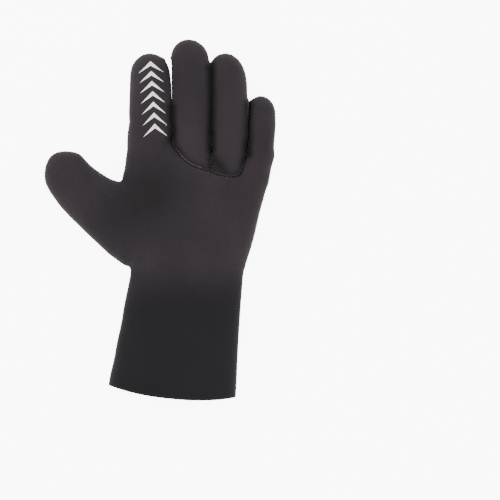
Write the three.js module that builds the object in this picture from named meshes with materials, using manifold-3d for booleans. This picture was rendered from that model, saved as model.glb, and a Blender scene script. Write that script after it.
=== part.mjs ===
// A right-hand five-finger diving glove of thick foamed neoprene with a long gauntlet cuff.
//
// It lies palm down: +X runs from the thumb side to the little-finger side, +Y from the hem to the
// fingertips and +Z up out of the back of the hand. The origin is on the flat underside of the palm,
// where the glove rests. Sizes are in millimetres, and the rows of the tables hold shares of them.
//
// The glove is sewn from five pieces of sheet: the body (the cuff, the back of the hand and the backs
// of the thumb, the index and the little finger, wrapped round the cuff to a side seam), the palm with
// all its finger fronts, the backs of the middle and the ring finger, and a small gusset in their fork.
// Seven chevrons are printed on the back of the index finger.
import * as THREE from "three";
import { mergeVertices } from "three/addons/utils/BufferGeometryUtils.js";
import Module from "manifold-3d";

const wasm = await Module();
wasm.setup();

// Sheet and seams
const neoprene = 4.5;
const seamGap = 0.3;
const fingerGap = 0.9;

// Cuff, from the wrist to the hem
const cuffLength = 109.4;
const hemWidth = 114.8;
const hemHeight = 42;
const cuffLean = 13.5;
const hemBulge = 6.5;
const hemTurn = -5.5;

// Hand, from the wrist to the knuckles
const palmLength = 92;
const wristWidth = 101;
const wristHeight = 36;
const palmHeight = 43;
const knuckleHeight = 34;
const knuckleTurn = -9;

// The palm's underside is pressed flat by this much where it rests on a surface.
const restFlat = 2;

// The origin lies beside the wrist's centre and at a share of the palm's length from it. The middle
// finger's axis lies this far from the wrist's centre.
const originBeside = 2.4;
const originShare = 0.55;
const middleBeside = 3.7;

// Each finger is a tube from inside the palm to its round tip. length is from the knuckle line to the
// tip and cap is how much of it the round end takes. In the rows, along is a share of the length, sway
// and girth are shares of the width, and depth is a share of the thickness.
const indexFinger = {
  width: 36.4,
  length: 103,
  thickness: 27,
  cap: 18.5,
  rows: [
    { along: -0.3, sway: -0.14, girth: 1.2, depth: 0.7 },
    { along: -0.1, sway: -0.12, girth: 1.2, depth: 0.92 },
    { along: 0.02, sway: -0.05, girth: 1.14, depth: 1.04 },
    { along: 0.17, sway: -0.032, girth: 1.104, depth: 1.08 },
    { along: 0.32, sway: -0.027, girth: 1.074, depth: 1.03 },
    { along: 0.6, sway: -0.02, girth: 1.024, depth: 1.0 },
    { along: 0.82, sway: -0.02, girth: 0.988, depth: 0.97 },
    { along: 1.0, sway: -0.028, girth: 0.945, depth: 0.93 },
  ],
};
const middleFinger = {
  width: 34.6,
  length: 115,
  thickness: 27,
  cap: 18.5,
  rows: [
    { along: -0.3, sway: 0.08, girth: 0.98, depth: 0.7 },
    { along: -0.1, sway: 0.07, girth: 1.0, depth: 0.92 },
    { along: 0.14, sway: 0.03, girth: 0.99, depth: 1.08 },
    { along: 0.3, sway: -0.008, girth: 0.99, depth: 1.03 },
    { along: 0.53, sway: 0.01, girth: 0.995, depth: 1.0 },
    { along: 0.72, sway: -0.004, girth: 1.015, depth: 1.0 },
    { along: 0.84, sway: -0.027, girth: 1.008, depth: 0.98 },
    { along: 1.0, sway: -0.08, girth: 0.985, depth: 0.93 },
  ],
};
const ringFinger = {
  width: 32.4,
  length: 103,
  thickness: 26,
  cap: 17,
  rows: [
    { along: -0.3, sway: -0.14, girth: 0.98, depth: 0.7 },
    { along: -0.1, sway: -0.08, girth: 1.0, depth: 0.92 },
    { along: 0.13, sway: -0.03, girth: 0.985, depth: 1.08 },
    { along: 0.27, sway: -0.008, girth: 0.995, depth: 1.03 },
    { along: 0.41, sway: 0.0, girth: 0.995, depth: 1.0 },
    { along: 0.66, sway: -0.005, girth: 0.975, depth: 0.99 },
    { along: 0.77, sway: -0.02, girth: 0.94, depth: 0.97 },
    { along: 0.84, sway: -0.046, girth: 0.913, depth: 0.95 },
    { along: 1.0, sway: -0.122, girth: 0.92, depth: 0.9 },
  ],
};
const littleFinger = {
  width: 24.4,
  length: 64,
  thickness: 22,
  cap: 13.5,
  rows: [
    { along: -0.6, sway: -0.8, girth: 1.0, depth: 0.6 },
    { along: -0.3, sway: -0.58, girth: 1.0, depth: 0.8 },
    { along: 0.06, sway: -0.16, girth: 1.06, depth: 1.12 },
    { along: 0.31, sway: 0.01, girth: 0.96, depth: 1.05 },
    { along: 0.55, sway: 0.0, girth: 0.985, depth: 1.0 },
    { along: 0.79, sway: -0.01, girth: 0.985, depth: 0.97 },
    { along: 1.0, sway: -0.055, girth: 0.985, depth: 0.92 },
  ],
};

// How the fingers curl: lift 1 is the knuckle's height, lift 0 the height of a tip that rests on the table.
const knuckleLift = 21;
const tipPress = 0.94;
const curlRows = [
  { along: -0.6, lift: 1.0 },
  { along: 0.0, lift: 1.0 },
  { along: 0.3, lift: 1.02 },
  { along: 0.55, lift: 0.72 },
  { along: 0.8, lift: 0.22 },
  { along: 0.92, lift: 0.02 },
  { along: 1.0, lift: -0.02 },
];

// The thumb leaves the palm and bends up beside the index finger. reach and rise are shares of its
// length, heading is in degrees from +X, girth is a share of its width, depth of its thickness. It is
// rooted inside the palm: inward from the wrist's edge and beyond the wrist.
const thumb = {
  width: 41,
  length: 119.5,
  thickness: 28,
  cap: 18,
  lift: 20,
  inward: 31,
  beyond: 38.6,
  rows: [
    { along: 0.0, reach: 0.0, rise: 0.0, heading: 186, girth: 1.66, depth: 1.1, lift: 1.0 },
    { along: 0.31, reach: 0.308, rise: 0.022, heading: 186, girth: 1.9, depth: 1.2, lift: 0.97 },
    { along: 0.55, reach: 0.526, rise: 0.168, heading: 169, girth: 1.39, depth: 1.12, lift: 0.9 },
    { along: 0.72, reach: 0.664, rise: 0.293, heading: 155, girth: 1.17, depth: 1.05, lift: 0.8 },
    { along: 0.85, reach: 0.754, rise: 0.404, heading: 141, girth: 1.055, depth: 1.0, lift: 0.72 },
    { along: 1.0, reach: 0.861, rise: 0.508, heading: 134, girth: 0.975, depth: 0.93, lift: 0.66 },
  ],
};

// Squareness of the cross-sections: 2 is an ellipse, more is boxier.
const bodySquareness = 2.35;
const fingerSquareness = 2.15;

// The palm piece's edge runs this share of the local thickness below the glove's mid height, and rises
// to the mid height itself within forkReach of the fork between thumb and index finger. The fork is at
// shares of the index finger's width and length from its root.
const seamDrop = 0.24;
const forkReach = 50;
const forkStart = 0.1;
const forkAcross = 0.84;
const forkBack = 0.15;
// The edge follows the hand up to the knuckles and a finger's own height past this share of its length.
// It goes over to the thumb between two shares of the thumb's length from its root.
const ontoFinger = 0.15;
const ontoThumbFrom = 0.2;
const ontoThumbTo = 0.45;
// The palm piece's edge across the wrist dips towards the hem by this much in the middle.
const wristSeamDip = 9;
// The cuff's side seam lies this far in from the little-finger edge.
const sideSeamInset = 8;

// The middle and ring fingers have backs of their own, set into the body by one U-shaped seam. across
// is a share of the two fingers' joint width, and rise a share of the way from the U's lowest point,
// backSeamDepth below the knuckle line, up to the fork of the fingers.
const backSeamDepth = 8.5;
const backSeamRows = [
  { across: 0.035, rise: 1.04 },
  { across: 0.1, rise: 0.79 },
  { across: 0.22, rise: 0.45 },
  { across: 0.48, rise: 0.21 },
  { across: 0.62, rise: 0.07 },
  { across: 0.77, rise: 0.0 },
  { across: 0.9, rise: 0.07 },
  { across: 0.955, rise: 0.52 },
  { across: 0.985, rise: 0.94 },
];
// A small gusset fills the fork between the two backs. It stands on the U seam, between two shares of
// the backs' joint width.
const gussetHeight = 13.5;
const gussetFrom = 0.475;
const gussetTo = 0.7;

// Printed chevrons on the index finger, in a row that leans by chevronLean degrees. The first one's
// point lies chevronFromTip below the fingertip and chevronBeside from the finger's axis.
const chevronCount = 7;
const chevronWidth = 21.5;
const chevronHeight = 12;
const chevronStroke = 4;
const chevronPitch = 9.4;
const chevronFromTip = 6.5;
const chevronBeside = -0.7;
const chevronLean = 4;
const printThickness = 0.4;

// Facets of the outside and the inside. A round end stops just short of its pole.
const bodySides = 38;
const bodyRings = 18;
const fingerSides = 18;
const fingerRings = 10;
const thumbSides = 22;
const capRings = 4;
const capTurn = 0.97 * (Math.PI / 2);
const innerBodySides = 24;
const innerBodyRings = 13;
const innerFingerSides = 12;
const innerFingerRings = 7;
const innerThumbSides = 16;
const seamCell = 11;
const seamSteps = 18;
const sideSeamSteps = 6;

const wristX = -originBeside;
const wristY = -originShare * palmLength;
const knuckleY = wristY + palmLength;
thumb.x = wristX - wristWidth / 2 + thumb.inward;
thumb.y = wristY + thumb.beyond;

// Centre of each finger's root, stacked outwards from the middle finger.
middleFinger.x = wristX + middleBeside;
indexFinger.x = middleFinger.x - middleFinger.width / 2 - fingerGap - indexFinger.width / 2;
ringFinger.x = middleFinger.x + middleFinger.width / 2 + fingerGap + ringFinger.width / 2;
littleFinger.x = ringFinger.x + ringFinger.width / 2 + fingerGap + littleFinger.width / 2;
const fingers = [indexFinger, middleFinger, ringFinger, littleFinger];
const knuckleWest = indexFinger.x - indexFinger.width / 2;
const knuckleEast = littleFinger.x + littleFinger.width / 2;
const knuckleWidth = knuckleEast - knuckleWest;
const knuckleX = (knuckleWest + knuckleEast) / 2;

// Cuts run past the glove by this factor.
const overrun = 1.1;
const fingertipsY = knuckleY + overrun * middleFinger.length;

// A smooth curve through one column of a table, read at any value of its along column.
function column(rows, name, at) {
  const last = rows.length - 1;
  if (at <= rows[0].along) return rows[0][name];
  if (at >= rows[last].along) return rows[last][name];
  let i = 0;
  while (rows[i + 1].along < at) i += 1;
  const slope = (k) => {
    const a = rows[Math.max(k - 1, 0)];
    const b = rows[Math.min(k + 1, last)];
    return (b[name] - a[name]) / (b.along - a.along);
  };
  const step = rows[i + 1].along - rows[i].along;
  const t = (at - rows[i].along) / step;
  const t2 = t * t;
  const t3 = t2 * t;
  return (
    (2 * t3 - 3 * t2 + 1) * rows[i][name] +
    (t3 - 2 * t2 + t) * step * slope(i) +
    (3 * t2 - 2 * t3) * rows[i + 1][name] +
    (t3 - t2) * step * slope(i + 1)
  );
}

// One ring of a tube: a superellipse across the heading, in the plane that also holds +Z.
function ringAt({ x, y, heading, halfWidth, mid, halfHeight, squareness, bulge = 0 }, sides) {
  const across = new THREE.Vector2(Math.sin(heading), -Math.cos(heading));
  const points = [];
  for (let i = 0; i < sides; i += 1) {
    const a = (2 * Math.PI * i) / sides;
    const c = Math.cos(a);
    const s = Math.sin(a);
    const out = halfWidth * Math.sign(c) * Math.abs(c) ** (2 / squareness);
    const up = halfHeight * Math.sign(s) * Math.abs(s) ** (2 / squareness);
    const push = bulge * Math.max(s, 0) ** 2;
    points.push(
      new THREE.Vector3(
        x + across.x * out - Math.cos(heading) * push,
        y + across.y * out - Math.sin(heading) * push,
        mid + up,
      ),
    );
  }
  return points;
}

// A closed tube through rings with equal numbers of points, each end closed by a fan.
function tube(rings) {
  const sides = rings[0].length;
  const position = rings.flat().flatMap((p) => [p.x, p.y, p.z]);
  const index = [];
  for (let r = 0; r + 1 < rings.length; r += 1)
    for (let i = 0; i < sides; i += 1) {
      const a = r * sides + i;
      const b = r * sides + ((i + 1) % sides);
      index.push(a, b + sides, b, a, a + sides, b + sides);
    }
  for (const end of [0, rings.length - 1]) {
    const centre = rings[end].reduce((sum, p) => sum.add(p), new THREE.Vector3()).divideScalar(sides);
    const hub = position.length / 3;
    position.push(centre.x, centre.y, centre.z);
    for (let i = 0; i < sides; i += 1) {
      const a = end * sides + i;
      const b = end * sides + ((i + 1) % sides);
      index.push(hub, end ? b : a, end ? a : b);
    }
  }
  const geometry = new THREE.BufferGeometry();
  geometry.setAttribute("position", new THREE.Float32BufferAttribute(position, 3));
  geometry.setIndex(index);
  return geometry;
}

// Closed shapes as solids that can be joined and cut, and back.
function solid(geometry) {
  const bare = geometry.clone();
  bare.deleteAttribute("normal");
  bare.deleteAttribute("uv");
  const merged = mergeVertices(bare, 1e-4);
  return new wasm.Manifold(
    new wasm.Mesh({
      numProp: 3,
      vertProperties: new Float32Array(merged.attributes.position.array),
      triVerts: new Uint32Array(merged.index.array),
    }),
  );
}

function geometryOf(made) {
  const mesh = made.getMesh();
  const position = [];
  for (let i = 0; i < mesh.numVert; i += 1)
    position.push(...mesh.vertProperties.slice(i * mesh.numProp, i * mesh.numProp + 3));
  const geometry = new THREE.BufferGeometry();
  geometry.setAttribute("position", new THREE.Float32BufferAttribute(position, 3));
  geometry.setIndex(Array.from(mesh.triVerts));
  geometry.computeVertexNormals();
  return geometry;
}

// The cuff and the hand in one tube. along is a share of the cuff's length from the wrist to the hem, or
// of the palm's from the wrist past the knuckles. spread and drift go from the wrist's width and centre
// to the hem's or the knuckles', swell from the wrist's height to the palm's, turn to the knuckles'
// height and slant, and close narrows the height.
const cuffRows = [
  { along: 0.0, spread: 0.0 },
  { along: 0.3, spread: 0.19 },
  { along: 0.65, spread: 0.54 },
  { along: 1.0, spread: 1.0 },
];
const handRows = [
  { along: 0.0, spread: 0.0, drift: 0.0, swell: 0.0, close: 1.0, turn: 0.1 },
  { along: 0.3, spread: 0.39, drift: 0.22, swell: 0.8, close: 1.0, turn: 0.0 },
  { along: 0.6, spread: 0.7, drift: 0.33, swell: 0.9, close: 1.0, turn: 0.15 },
  { along: 0.84, spread: 0.94, drift: 0.48, swell: 0.4, close: 0.99, turn: 0.6 },
  { along: 1.0, spread: 1.05, drift: 0.725, swell: 0.0, close: 0.95, turn: 1.0 },
  { along: 1.1, spread: 1.0, drift: 0.76, swell: -0.1, close: 0.8, turn: 1.0 },
  { along: 1.19, spread: 0.91, drift: 0.76, swell: -0.1, close: 0.4, turn: 1.0 },
];
const handEnd = handRows[handRows.length - 1].along;

function cuffStation(at, inset) {
  const spread = column(cuffRows, "spread", at);
  const height = wristHeight + (hemHeight - wristHeight) * spread;
  return {
    x: wristX - cuffLean * at,
    y: wristY - cuffLength * at,
    heading: THREE.MathUtils.degToRad(90 + hemTurn * at),
    halfWidth: (wristWidth + (hemWidth - wristWidth) * spread) / 2 - inset,
    mid: height / 2 - restFlat,
    halfHeight: height / 2 - inset,
    squareness: bodySquareness,
  };
}

function handStation(at, inset) {
  const [spread, drift, swell, close, turn] = ["spread", "drift", "swell", "close", "turn"].map((name) =>
    column(handRows, name, at),
  );
  const palm = wristHeight + (palmHeight - wristHeight) * swell;
  const height = palm + (knuckleHeight - wristHeight) * turn * (1 - swell);
  return {
    x: wristX + (knuckleX - wristX) * drift,
    y: wristY + palmLength * at,
    heading: THREE.MathUtils.degToRad(90 + knuckleTurn * turn),
    halfWidth: (wristWidth + (knuckleWidth - wristWidth) * spread) / 2 - inset,
    mid: Math.max(height / 2 - restFlat, knuckleLift * Math.min(at, 1)),
    halfHeight: (height / 2) * close - inset,
    squareness: bodySquareness,
  };
}

function bodyTube(inset, sides, rings, pastHem) {
  const stations = pastHem ? [cuffStation(1 + pastHem / cuffLength, inset)] : [];
  for (let i = 0; i <= rings; i += 1) {
    const at = -1 + ((handEnd + 1) * i) / rings;
    stations.push(at < 0 ? cuffStation(-at, inset) : handStation(at, inset));
  }
  stations[stations.length - 1].y -= inset;
  if (!pastHem) stations[0].bulge = hemBulge;
  return tube(stations.map((station) => ringAt(station, sides)));
}

// Finger and thumb tubes. The round end shrinks the last ring along an ellipse.
function capped(stationAt, length, cap, inset, sides, rings) {
  const start = 1 - cap / length;
  const stations = [];
  for (let i = 0; i <= rings; i += 1) {
    const share = i / rings;
    stations.push(stationAt(share * start, 1, inset));
  }
  const innerCap = cap - inset;
  for (let i = 1; i <= capRings; i += 1) {
    const turn = capTurn * (i / capRings);
    stations.push(stationAt(start + (innerCap * Math.sin(turn)) / length, Math.cos(turn), inset));
  }
  return tube(stations.map((s) => ringAt(s, sides)));
}

function fingerMid(finger, at) {
  const rest = (finger.thickness / 2) * tipPress;
  return rest + (knuckleLift - rest) * column(curlRows, "lift", at);
}

function fingerTube(finger, inset, sides, rings) {
  const first = finger.rows[0].along;
  const stationAt = (share, shrink) => {
    const at = first + share * (1 - first);
    const halfHeight = (finger.thickness / 2) * column(finger.rows, "depth", at);
    return {
      x: finger.x + finger.width * column(finger.rows, "sway", at),
      y: knuckleY + finger.length * at,
      heading: Math.PI / 2,
      halfWidth: ((finger.width / 2) * column(finger.rows, "girth", at) - inset) * shrink,
      mid: fingerMid(finger, at),
      halfHeight: (halfHeight - inset) * shrink,
      squareness: fingerSquareness,
    };
  };
  return capped(stationAt, finger.length * (1 - first), finger.cap, inset, sides, rings);
}

function thumbTube(inset, sides, rings) {
  const stationAt = (share, shrink) => ({
    x: thumb.x - thumb.length * column(thumb.rows, "reach", share),
    y: thumb.y + thumb.length * column(thumb.rows, "rise", share),
    heading: THREE.MathUtils.degToRad(column(thumb.rows, "heading", share)),
    halfWidth: ((thumb.width / 2) * column(thumb.rows, "girth", share) - inset) * shrink,
    mid: thumb.lift * column(thumb.rows, "lift", share),
    halfHeight: ((thumb.thickness / 2) * column(thumb.rows, "depth", share) - inset) * shrink,
    squareness: fingerSquareness,
  });
  return capped(stationAt, thumb.length, thumb.cap, inset, sides, rings);
}

// Everything above a level, as one big block.
function above(level) {
  const side = 4 * (cuffLength + palmLength);
  const block = new THREE.BoxGeometry(side, side, side);
  block.translate(0, 0, level + side / 2);
  return solid(block);
}

const outer = [
  bodyTube(0, bodySides, bodyRings, 0),
  ...fingers.map((finger) => fingerTube(finger, 0, fingerSides, fingerRings)),
  thumbTube(0, thumbSides, fingerRings),
]
  .map(solid)
  .reduce((sum, piece) => sum.add(piece))
  .intersect(above(0));
const inner = [
  bodyTube(neoprene, innerBodySides, innerBodyRings, 3 * neoprene),
  ...fingers.map((finger) => fingerTube(finger, neoprene, innerFingerSides, innerFingerRings)),
  thumbTube(neoprene, innerThumbSides, innerFingerRings),
]
  .map(solid)
  .reduce((sum, piece) => sum.add(piece))
  .intersect(above(neoprene));
const shell = outer.subtract(inner);

// The palm piece's edge: its height at any place in the plan.
const smooth = (from, to, at) => THREE.MathUtils.smoothstep(at, from, to);
const blend = (a, b, share) => a + (b - a) * share;
const forkX = indexFinger.x - forkAcross * indexFinger.width;
const forkY = knuckleY - forkBack * indexFinger.length;

function seamHeight(x, y) {
  const hand = handStation((Math.min(y, knuckleY) - wristY) / palmLength, 0);
  const finger = fingers.reduce((a, b) => (Math.abs(b.x - x) < Math.abs(a.x - x) ? b : a));
  const alongFinger = THREE.MathUtils.clamp((y - knuckleY) / finger.length, 0, 1);
  const onFinger = smooth(0, ontoFinger, alongFinger);
  const alongThumb = Math.min(Math.hypot(x - thumb.x, y - thumb.y) / thumb.length, 1);
  const belowFork = 1 - smooth(0, seamCell, x + y - forkX - forkY);
  const onThumb = smooth(ontoThumbFrom, ontoThumbTo, (thumb.x - x) / thumb.length) * belowFork;
  const thumbMid = thumb.lift * column(thumb.rows, "lift", alongThumb);
  const mid = blend(blend(hand.mid, fingerMid(finger, alongFinger), onFinger), thumbMid, onThumb);
  const thick = blend(blend(2 * hand.halfHeight, finger.thickness, onFinger), thumb.thickness, onThumb);
  const awayFromFork = smooth(forkStart, 1, Math.hypot(x - forkX, y - forkY) / forkReach);
  return mid - seamDrop * thick * awayFromFork;
}

function wristSeam(x) {
  const across = (x - wristX) / (wristWidth / 2);
  return wristY - wristSeamDip * Math.max(1 - across ** 2, 0);
}

// Everything under the palm piece's edge, raised and widened by some clearance.
function palmSide(clearance) {
  const west = thumb.x - overrun * thumb.length;
  const east = knuckleEast + littleFinger.width;
  const columns = Math.round((east - west) / seamCell);
  const rows = Math.round((fingertipsY - wristY) / seamCell);
  const position = [];
  const index = [];
  const at = (layer, c, r) => (layer * (columns + 1) + c) * (rows + 1) + r;
  for (const layer of [0, 1])
    for (let c = 0; c <= columns; c += 1)
      for (let r = 0; r <= rows; r += 1) {
        const x = west + ((east - west) * c) / columns;
        const south = wristSeam(x) - clearance;
        const y = south + ((fingertipsY - south) * r) / rows;
        position.push(x, y, layer ? seamHeight(x, y) + clearance : -palmHeight);
      }
  const quad = (a, b, c, d) => index.push(a, b, c, a, c, d);
  for (let c = 0; c < columns; c += 1)
    for (let r = 0; r < rows; r += 1) {
      quad(at(1, c, r), at(1, c + 1, r), at(1, c + 1, r + 1), at(1, c, r + 1));
      quad(at(0, c, r), at(0, c, r + 1), at(0, c + 1, r + 1), at(0, c + 1, r));
    }
  for (let c = 0; c < columns; c += 1) {
    quad(at(0, c, 0), at(0, c + 1, 0), at(1, c + 1, 0), at(1, c, 0));
    quad(at(0, c + 1, rows), at(0, c, rows), at(1, c, rows), at(1, c + 1, rows));
  }
  for (let r = 0; r < rows; r += 1) {
    quad(at(0, 0, r + 1), at(0, 0, r), at(1, 0, r), at(1, 0, r + 1));
    quad(at(0, columns, r), at(0, columns, r + 1), at(1, columns, r + 1), at(1, columns, r));
  }
  const geometry = new THREE.BufferGeometry();
  geometry.setAttribute("position", new THREE.Float32BufferAttribute(position, 3));
  geometry.setIndex(index);
  return solid(geometry);
}

// An upright block over a plan outline, and an upright blade as wide as a seam gap along a plan curve.
function upright(points, low, high) {
  const geometry = new THREE.ExtrudeGeometry(new THREE.Shape(points), {
    depth: high - low,
    bevelEnabled: false,
  });
  geometry.translate(0, 0, low);
  return solid(geometry);
}

function blade(points, low, high) {
  const side = (sign) =>
    points.map((point, i) => {
      const before = points[Math.max(i - 1, 0)];
      const after = points[Math.min(i + 1, points.length - 1)];
      const run = after.clone().sub(before).normalize();
      return point.clone().add(new THREE.Vector2(-run.y, run.x).multiplyScalar((sign * seamGap) / 2));
    });
  return upright([...side(1), ...side(-1).reverse()], low, high);
}

// The U seam in plan, from the fork beside the index finger to the fork beside the little finger.
const backsWest = middleFinger.x - (middleFinger.width + fingerGap) / 2;
const backsMiddle = middleFinger.x + (middleFinger.width + fingerGap) / 2;
const backsEast = ringFinger.x + (ringFinger.width + fingerGap) / 2;
const backsX = (across) => blend(backsWest, backsEast, across);
const fingerForkY = wristY + handEnd * palmLength;
const backSeam = new THREE.SplineCurve(
  backSeamRows.map(
    ({ across, rise }) =>
      new THREE.Vector2(backsX(across), blend(knuckleY - backSeamDepth, fingerForkY, rise)),
  ),
).getPoints(seamSteps);
const seamAt = (across) => backSeam.find((point) => point.x >= backsX(across)).clone();
const seamBetween = (from, to) => backSeam.filter((point) => point.x > from.x && point.x < to.x);

// Plan outlines of the two backs and the gusset. Between the fingers they end in the open gaps.
const [seamWest, seamEast] = [backSeam[0], backSeam[seamSteps]];
const [gussetWest, gussetEast] = [seamAt(gussetFrom), seamAt(gussetTo)];
const gussetTop = new THREE.Vector2(backsMiddle, gussetWest.y + gussetHeight);
const middleTop = new THREE.Vector2(backsMiddle, fingertipsY);
const westEdge = [
  new THREE.Vector2(backsWest - fingerGap, fingertipsY),
  new THREE.Vector2(backsWest, seamWest.y + fingerGap),
  seamWest,
];
const eastEdge = [
  seamEast,
  new THREE.Vector2(backsEast, seamEast.y + fingerGap),
  new THREE.Vector2(backsEast, fingertipsY),
];
const gussetBase = [gussetWest, ...seamBetween(gussetWest, gussetEast)];
const middleOutline = [...westEdge, ...seamBetween(seamWest, gussetWest), gussetWest, gussetTop, middleTop];
const ringOutline = [middleTop, gussetTop, ...gussetBase, gussetEast, ...seamBetween(gussetEast, seamEast)];

// The glove's three layers of pieces: the palm, the backs and, in the backs, the seams of the finger
// backs. The gusset is only as deep as the back of the hand.
const palm = shell.intersect(palmSide(0));
const backs = [
  palmSide(seamGap),
  blade([...westEdge, ...backSeam.slice(1, -1), ...eastEdge], 0, 2 * palmHeight),
  blade([middleTop, gussetTop, gussetWest], 0, 2 * palmHeight),
  blade([gussetTop, gussetEast], knuckleLift, 2 * palmHeight),
].reduce((sum, cut) => sum.subtract(cut), shell);
const middleBlock = upright(middleOutline, 0, 2 * palmHeight);
const gussetBlock = upright([gussetTop, ...gussetBase, gussetEast], knuckleLift, 2 * palmHeight);
const ringBlock = upright([...ringOutline, ...eastEdge], 0, 2 * palmHeight).subtract(gussetBlock);

// The side seam runs up the underside of the cuff, near its little-finger edge.
const sideSeam = [];
for (let i = 0; i <= sideSeamSteps; i += 1) {
  const station = cuffStation(overrun * (1 - i / sideSeamSteps), 0);
  sideSeam.push(new THREE.Vector2(station.x + station.halfWidth - sideSeamInset, station.y));
}
const body = [middleBlock, ringBlock, gussetBlock, blade(sideSeam, -neoprene, wristHeight / 2)].reduce(
  (sum, cut) => sum.subtract(cut),
  backs,
);

// A chevron is a thin print that follows the back of the index finger.
const printLayer = [seamGap + printThickness, seamGap]
  .map((height) => solid(fingerTube(indexFinger, -height, fingerSides, fingerRings)))
  .reduce((outside, inside) => outside.subtract(inside));

function chevron(i) {
  const lean = THREE.MathUtils.degToRad(chevronLean);
  const first = new THREE.Vector2(
    indexFinger.x + chevronBeside,
    knuckleY + indexFinger.length - chevronFromTip,
  );
  const outline = [
    new THREE.Vector2(0, 0),
    new THREE.Vector2(-chevronWidth / 2, -chevronHeight),
    new THREE.Vector2(0, -chevronStroke),
    new THREE.Vector2(chevronWidth / 2, -chevronHeight),
  ].map((corner) => new THREE.Vector2(corner.x, corner.y - chevronPitch * i));
  for (const corner of outline) corner.rotateAround(new THREE.Vector2(), lean).add(first);
  const low = fingerMid(indexFinger, (outline[0].y - knuckleY) / indexFinger.length);
  return printLayer.intersect(upright(outline, low, 2 * palmHeight));
}

const root = new THREE.Group();
function addPiece(name, made, look) {
  const mesh = new THREE.Mesh(geometryOf(made), new THREE.MeshStandardMaterial(look));
  mesh.name = name;
  root.add(mesh);
}
const smoothNeoprene = { color: 0x39343a, roughness: 0.85, metalness: 0 };
const gripNeoprene = { color: 0x3c3238, roughness: 0.9, metalness: 0 };
const whitePrint = { color: 0xf2f1f0, roughness: 0.5, metalness: 0 };

addPiece("glove_body", body, smoothNeoprene);
addPiece("palm_panel", palm, gripNeoprene);
addPiece("middle_finger_back", backs.intersect(middleBlock), smoothNeoprene);
addPiece("ring_finger_back", backs.intersect(ringBlock), smoothNeoprene);
addPiece("fork_gusset", backs.intersect(gussetBlock), smoothNeoprene);
for (let i = 0; i < chevronCount; i += 1) addPiece(`chevron_${i + 1}`, chevron(i), whitePrint);

export default root;
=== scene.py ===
import math

import bmesh
import bpy
import numpy as np
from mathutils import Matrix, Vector
from mathutils.bvhtree import BVHTree
from mathutils.kdtree import KDTree


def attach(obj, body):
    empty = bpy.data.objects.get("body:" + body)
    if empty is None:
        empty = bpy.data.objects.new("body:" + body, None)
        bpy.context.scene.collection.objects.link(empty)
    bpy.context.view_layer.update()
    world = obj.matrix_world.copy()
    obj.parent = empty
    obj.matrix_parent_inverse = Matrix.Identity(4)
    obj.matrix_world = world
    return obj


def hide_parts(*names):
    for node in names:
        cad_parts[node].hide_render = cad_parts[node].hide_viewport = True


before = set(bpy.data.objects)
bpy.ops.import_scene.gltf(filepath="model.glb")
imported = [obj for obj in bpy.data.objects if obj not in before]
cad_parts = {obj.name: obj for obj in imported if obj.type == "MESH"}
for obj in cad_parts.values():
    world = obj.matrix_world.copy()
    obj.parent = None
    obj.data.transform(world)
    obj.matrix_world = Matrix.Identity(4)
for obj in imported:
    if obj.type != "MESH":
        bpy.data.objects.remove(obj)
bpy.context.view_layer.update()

# The neoprene skin. The real glove is sewn from pieces of 4.5 mm foamed sheet, glued edge to edge, so
# its outside is one soft surface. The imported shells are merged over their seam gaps, with the fingers
# held apart meanwhile, and their facets are relaxed into that surface. Lengths here are in mm.
MM = 0.001
SHEETS = ["glove_body", "palm_panel", "middle_finger_back", "ring_finger_back", "fork_gusset"]
BODY, PALM, MIDDLE, RING, GUSSET = range(5)
VOXEL, SAME_CORNER = 1.4, 0.01
FINGER_GAPS = np.array([-16.5, 19.0, 52.3])
FORK_X, FORK_Y, FORK_SLOPE, FORK_RISE = 5.6, 58.9, -0.158, 14.0
HELD_APART = 6.0
HEM_TURN = math.radians(84.5)
HEM_CENTRE = np.array([-15.9, -160.0])
HEM_OUT = np.array([-math.cos(HEM_TURN), -math.sin(HEM_TURN)])
HEM_BULGE, HEM_MID, HEM_HALF, HEM_BOXINESS = 6.5, 19.0, 21.0, 2.35
HEM_NEAR, HEM_OVERRUN = 1.0, 5.0
HEM_TOP, HEM_FACING = -140.0, 0.65


def shell(name):
    """A packed shell's corners in mm and its triangles, with shared corners merged."""
    work = bmesh.new()
    work.from_mesh(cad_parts[name].data)
    bmesh.ops.remove_doubles(work, verts=work.verts, dist=SAME_CORNER * MM)
    corners = np.array([v.co for v in work.verts]) / MM
    triangles = np.array([[v.index for v in f.verts] for f in work.faces])
    work.free()
    return corners, triangles


def eased(share):
    """A share from 0 to 1 that starts and ends softly."""
    return share**2 * (3 - 2 * share)


def held_apart(points, lane):
    """How far each point moves sideways while its finger is held away from the next."""
    up = (points[:, 1] - FORK_Y - FORK_SLOPE * (points[:, 0] - FORK_X)) / FORK_RISE
    return HELD_APART * lane * eased(np.clip(up, 0, 1))


def lane_of(x, gaps):
    """The finger that x belongs to: -1.5 index, -0.5 middle, 0.5 ring and 1.5 little finger."""
    return (x[:, None] > gaps).sum(axis=1) - 1.5


def hem_distance(points):
    """How far each point lies beyond the cut edge of the cuff, which bulges on the back."""
    level = np.clip((points[:, 2] - HEM_MID) / HEM_HALF, 0, 1)
    return (points[:, :2] - HEM_CENTRE) @ HEM_OUT - HEM_BULGE * level**HEM_BOXINESS


def pick(made):
    """Makes a piece the only one that the next operator acts on."""
    bpy.ops.object.select_all(action="DESELECT")
    bpy.context.view_layer.objects.active = made
    made.select_set(True)


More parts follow.
